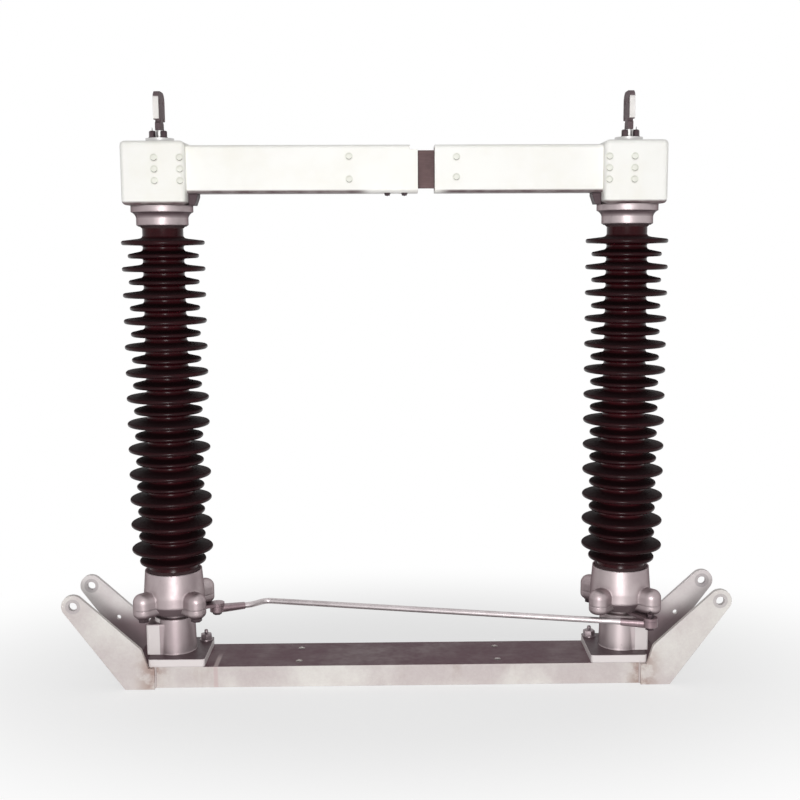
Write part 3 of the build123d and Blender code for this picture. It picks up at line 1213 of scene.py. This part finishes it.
@dataclass
class PostFittings(SceneStep):
    """What holds a post: mortar in its two castings, and the bolts under the lugs of its turntable."""

    FREE_LUGS: ClassVar[dict[Side, tuple[float, ...]]] = {
        Side.LEFT: (135.0, 225.0, 315.0), Side.RIGHT: (45.0, 135.0)}

    side: Side
    cup_top: float = 0.2978
    cup_inner_r: float = 0.069
    cap_bottom: float = 1.20355
    cap_inner_r: float = 0.054
    foot_ring: Outline = ((-0.0018, -0.004), (-0.0002, -0.004), (-0.0002, -0.0006), (-0.001, 0.0012),
                          (-0.0045, 0.0052), (-0.006, 0.0062), (-0.0055, 0.003), (-0.0018, -0.004))
    head_ring: Outline = ((-0.0018, 0.004), (-0.0002, 0.004), (0.0026, -0.0004), (0.001, -0.0022),
                          (-0.0018, -0.0046), (-0.0022, -0.002), (-0.0018, 0.004))
    ring_steps: int = 72
    lug_circle_r: float = 0.098
    lug_bottom: float = 0.1848
    head: Fastener = Fastener(head_r=0.0145, head_height=0.0095, washer_r=0.0165, washer_height=0.0016,
                              tip_r=0.007, tip_height=0.0012)

    def build(self) -> None:
        """Model the mortar and the bolts."""
        self._mortar("foot", self.foot_ring, self.cup_inner_r, self.cup_top)
        self._mortar("head", self.head_ring, self.cap_inner_r, self.cap_bottom)
        self._lug_bolts()

    def _mortar(self, end: str, ring: Outline, radius: float, height: float) -> None:
        """Model the mortar at one end of the post.

        Args:
            end: The end's name.
            ring: The mortar's outline from the edge of its casting's pocket.
            radius: The pocket's radius.
            height: The height of the pocket's edge.
        """
        outline = [(radius + out, height + up) for out, up in ring]
        mortar = Bench.lathe(f"{self.side.word}_{end}_mortar", outline, self.side.axis, self.ring_steps)
        put_on(mortar, self.side.column, SHADED_MORTAR)

    def _lug_bolts(self) -> None:
        """Model the bolt heads under the turntable's lugs, but none where a lever or the rod passes."""
        places = []
        for angle in self.FREE_LUGS[self.side]:
            turn = math.radians(angle)
            around = Vector((math.cos(turn), math.sin(turn), 0.0)) * self.lug_circle_r
            foot = self.side.axis + around + Vector((0.0, 0.0, self.lug_bottom))
            places.append(pointing(foot, DOWN, angle))
        bolts = Bench.repeat(self.head.model(), places, f"{self.side.word}_lug_bolts")
        put_on(bolts, self.side.column, DARK_STEEL)


@dataclass
class Headgear(SceneStep):
    """Bolts on a terminal box, its arm and its terminal."""

    ARM_BOLTS: ClassVar[dict[Side, Triple]] = {
        Side.LEFT: (-0.117, 1.32, 1.377), Side.RIGHT: (0.155, 1.325, 1.375)}

    side: Side
    box_depth: float = 0.15
    collar_top: float = 1.42585
    box_columns: tuple[float, float] = (-0.002, 0.062)
    box_rows: tuple[float, float, float] = (1.316, 1.3445, 1.373)
    arm_depth: float = 0.084
    arm_bottom: float = 1.28655
    round_head: RoundHead = RoundHead()
    stud_nut: Fastener = Fastener(head_r=0.0085, head_height=0.016, washer_r=0.0095, washer_height=0.002,
                                  tip_r=0.0055, tip_height=0.007)
    stud_x: tuple[float, float] = (-0.0145, 0.0145)
    stud_y: float = -0.021
    stud_turn: float = 30.0
    under_head: Fastener = Fastener(head_r=0.007, head_height=0.004, washer_r=0.0085, washer_height=0.0012,
                                    tip_r=0.0035, tip_height=0.001)
    under_x: tuple[float, float] = (-0.021, 0.023)
    under_y: tuple[float, float] = (-0.022, 0.022)
    under_turn: float = 15.0

    def build(self) -> None:
        """Model the bolts of the box, the arm and the terminal."""
        self._painted_bolts()
        self._studs()
        if self.side is Side.LEFT:
            self._underside_bolts()

    def _painted_bolts(self) -> None:
        """Model the painted heads on the front and rear of the box and the arm."""
        places = []
        for face in (-1.0, 1.0):
            out = Vector((0.0, face, 0.0))
            for column in self.box_columns:
                x = self.side.axis.x - self.side.value * column
                for row in self.box_rows:
                    places.append(pointing(Vector((x, face * self.box_depth / 2, row)), out))
            x, low, high = self.ARM_BOLTS[self.side]
            for row in (low, high):
                places.append(pointing(Vector((x, face * self.arm_depth / 2, row)), out))
        heads = Bench.repeat(self.round_head.model(), places, f"{self.side.word}_box_bolts")
        put_on(heads, self.side.column, BOLT_PAINT)

    def _studs(self) -> None:
        """Model the two dark nuts on the terminal's collar, either side of the pad's foot."""
        places = [upright_at(self.side.axis + Vector((x, self.stud_y, self.collar_top)), self.stud_turn)
                  for x in self.stud_x]
        studs = Bench.repeat(self.stud_nut.model(), places, f"{self.side.word}_terminal_nuts")
        put_on(studs, f"{self.side.word}_terminal", DARK_STEEL)

    def _underside_bolts(self) -> None:
        """Model the small dark heads under the left arm's end."""
        places = [pointing(Vector((x, y, self.arm_bottom)), DOWN, self.under_turn)
                  for x in self.under_x for y in self.under_y]
        bolts = Bench.repeat(self.under_head.model(), places, "left_arm_underside_bolts")
        put_on(bolts, self.side.column, DARK_STEEL)


@dataclass
class BaseIronwork(SceneStep):
    """Nuts on the housings' feet and weld beads along the ears."""

    foot_top: float = 0.077
    foot_x: tuple[float, float] = (0.529, 0.639)
    foot_y: float = 0.066
    foot_nut: Fastener = Fastener(head_r=0.0165, head_height=0.015, washer_r=0.018, washer_height=0.003,
                                  tip_r=0.0105, tip_height=0.012)
    foot_turn: float = 12.0
    seam_x: float = 0.64
    flange_y: float = 0.088
    channel_height: float = 0.056
    ripple: float = 0.0046
    ripple_flat: float = 0.75
    ripple_cut: float = 0.6
    bead_step: float = 0.8
    bead_start: float = 0.005
    bead_margin: float = 0.003

    def build(self) -> None:
        """Model the nuts and the welds."""
        for side in Side:
            places = [upright_at(Vector((side.value * x, self.foot_y, self.foot_top)), self.foot_turn)
                      for x in self.foot_x]
            nuts = Bench.repeat(self.foot_nut.model(), places, f"{side.word}_foot_nuts")
            put_on(nuts, "base", NUT_STEEL)
            self._welds(side)

    def _welds(self, side: Side) -> None:
        """Model the rippled beads where the two ears meet the channel.

        Args:
            side: The end of the channel.
        """
        places = []
        for face in (-1.0, 1.0):
            height = self.bead_start
            while height < self.channel_height - self.bead_margin:
                spot = Vector((side.value * self.seam_x, face * self.flange_y, height))
                places.append(Matrix.Translation(spot))
                height += self.ripple * self.bead_step
        put_on(Bench.repeat(self._ripple(), places, f"{side.word}_ear_welds"), "base", WELD)

    def _ripple(self) -> Piece:
        """Model one flat ripple of a bead.

        Returns:
            The ripple, at the origin.
        """
        Bench.clear()
        bpy.ops.mesh.primitive_uv_sphere_add(segments=10, ring_count=6, radius=self.ripple)
        Bench.edit()
        bpy.ops.transform.resize(value=(1.0, 1.0, self.ripple_flat))
        bpy.ops.mesh.bisect(plane_co=(0.0, 0.0, -self.ripple * self.ripple_cut), plane_no=(0.0, 0.0, 1.0),
                            use_fill=True, clear_inner=True)
        return Bench.done("ripple", angle=60.0)


@dataclass
class RodPins(SceneStep):
    """The bolts that the tie rod's eyes turn on."""

    left_pin: Point = (-0.49608, 0.06)
    right_pin: Point = (0.66, -0.10392)
    rod_bottom: float = 0.1604
    lever_top: float = 0.1848
    head: Fastener = Fastener(head_r=0.0125, head_height=0.007, washer_r=0.0145, washer_height=0.002,
                              tip_r=0.006, tip_height=0.0012)
    head_turn: float = 20.0
    nut: Fastener = Fastener(head_r=0.0095, head_height=0.008, washer_r=0.0115, washer_height=0.0016,
                             tip_r=0.0055, tip_height=0.005)
    nut_turn: float = 10.0

    def build(self) -> None:
        """Model a head under each eye, and the nut over the right lever."""
        places = [pointing(Vector((*pin, self.rod_bottom)), DOWN, self.head_turn)
                  for pin in (self.left_pin, self.right_pin)]
        put_on(Bench.repeat(self.head.model(), places, "rod_pin_heads"), "tie_rod", DARK_STEEL)
        places = [upright_at(Vector((*self.right_pin, self.lever_top)), self.nut_turn)]
        put_on(Bench.repeat(self.nut.model(), places, "right_pin_nut"), Side.RIGHT.column, DARK_STEEL)


class SolidDresser(SceneStep):
    """Gives the solids their finishes, each by the first rule that its name fits."""

    RULES: ClassVar[tuple[tuple[str, Finish], ...]] = (
        ("base_channel", ZINC_WEB), ("tie_rod_", SHADED_ZINC_EYE), ("tie_rod", ZINC_ROD), ("rear_", ZINC_REAR_LIT_AND_SHADED),
        ("_ear", ZINC), ("_crank", SHADED_ZINC_EYE), ("contact", CONTACT), ("terminal_box", PAINT),
        ("_arm_bracket", CAST_DARK), ("_arm", ARM_PAINT), ("terminal_pad", PAD), ("terminal_", BARE),
        ("insulator", GLAZE), ("housing", CAST_FOOT))

    def finish_of(self, node: str) -> Finish:
        """The finish of a solid, by its name."""
        return next((finish for part, finish in self.RULES if part in node), CAST)

    def build(self) -> None:
        """Dress every solid."""
        for node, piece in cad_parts.items():
            finish = self.finish_of(node)
            finish.dress(piece)
            LOG.info("%s is dressed in %s", node, finish.name)


@dataclass(frozen=True)
class Lamp:
    """A square soft lamp: where it stands, its side and its power in watts."""

    name: str
    place: Triple
    size: float
    power: float

    def light(self, aim: Vector) -> None:
        """Set the lamp up.

        Args:
            aim: The point that it looks at.
        """
        data = bpy.data.lights.new(self.name, "AREA")
        data.shape = "SQUARE"
        data.size = self.size
        data.energy = self.power
        lamp = bpy.data.objects.new(self.name, data)
        lamp.location = self.place
        lamp.rotation_euler = (aim - Vector(self.place)).to_track_quat("-Z", "Y").to_euler()
        bpy.context.scene.collection.objects.link(lamp)


@dataclass
class Studio(SceneStep):
    """A pale floor, soft lamps and the camera at the photograph's place."""

    camera_place: Triple = (-0.0020, -3.0290, 1.1579)
    yaw: float = 0.983
    pitch: float = 7.508
    roll: float = -0.239
    sensor: float = 36.0
    lens: float = 52.18
    shift: Point = (-0.0196, -0.0045)
    ambient: float = 0.3
    aim: Triple = (0.0, 0.0, 0.75)
    lamps: tuple[Lamp, ...] = (
        Lamp("key", (-0.05, -3.5, 0.62), size=0.8, power=68.0),
        Lamp("fill", (0.0, -3.3, 2.0), size=1.4, power=5.0),
        Lamp("top", (0.0, -0.4, 3.7), size=2.0, power=9.0))
    floor_size: float = 60.0
    floor_drop: float = 0.0005
    floor_tone: Colour = (0.95, 0.95, 0.95)
    shadow_stretch: Triple = (0.62, 1.0, 1.0)
    shadow_range: Span = (0.35, 1.1)
    shadow_white: float = 0.62

    def build(self) -> None:
        """Set up the camera, the floor, the world and the lamps."""
        bpy.context.scene.view_settings.view_transform = "Standard"
        self._camera()
        self._floor()
        self._world()
        for lamp in self.lamps:
            lamp.light(Vector(self.aim))

    def _camera(self) -> None:
        """Place the camera."""
        data = bpy.data.cameras.new("camera")
        data.sensor_width = self.sensor
        data.lens = self.lens
        data.shift_x, data.shift_y = self.shift
        camera = bpy.data.objects.new("camera", data)
        turn = Matrix.Translation(Vector(self.camera_place))
        for angle, axis in ((-self.yaw, "Z"), (90 - self.pitch, "X"), (self.roll, "Z")):
            turn = turn @ Matrix.Rotation(math.radians(angle), 4, axis)
        camera.matrix_world = turn
        bpy.context.scene.collection.objects.link(camera)
        bpy.context.scene.camera = camera

    def _floor(self) -> None:
        """Lay the floor: it takes the object's shadow near it and shows plain white further out."""
        Bench.clear()
        bpy.ops.mesh.primitive_plane_add(size=self.floor_size, location=(0.0, 0.0, -self.floor_drop))
        floor = Bench.done("floor")
        board = SurfaceBoard("pale_floor")
        board.set(Base_Color=self.floor_tone, Roughness=0.9, Specular_IOR_Level=0.1)
        out = board.add("ShaderNodeVectorMath", operation="LENGTH")
        board.join(board.stretched(self.shadow_stretch), out.inputs[0])
        far = board.spread(out.outputs["Value"], *self.shadow_range, self.shadow_white)
        glow = board.add("ShaderNodeEmission")
        glow.inputs["Strength"].default_value = 1.0
        mix = board.add("ShaderNodeMixShader")
        board.join(board.times(far, board.seen_rays()), mix.inputs[0])
        board.join(board.shader.outputs["BSDF"], mix.inputs[1])
        board.join(glow.outputs["Emission"], mix.inputs[2])
        board.join(mix.outputs["Shader"], board.output.inputs["Surface"])
        floor.data.materials.append(board.material)

    def _world(self) -> None:
        """Set a soft even world that shows white where nothing stands."""
        world = bpy.data.worlds.new("studio")
        world.use_nodes = True
        board = NodeBoard(world.node_tree)
        shade = board.add("ShaderNodeBackground")
        shade.inputs["Color"].default_value = (1.0, 1.0, 1.0, 1.0)
        board.join(board.spread(board.seen_rays(), 0.0, 1.0, self.ambient), shade.inputs["Strength"])
        output = board.add("ShaderNodeOutputWorld")
        board.join(shade.outputs["Background"], output.inputs["Surface"])
        bpy.context.scene.world = world


def main() -> None:
    """Build the scene: the studio, the solids, each side's post and bolts, then the base's and the rod's."""
    logging.basicConfig(level=logging.INFO, format="%(message)s")
    steps: list[SceneStep] = [Studio(), SolidDresser()]
    for side in Side:
        steps += [ShedPost(side), PostFittings(side), Headgear(side)]
    steps += [BaseIronwork(), RodPins()]
    for step in steps:
        step.build()


if __name__ == "__main__":
    main()
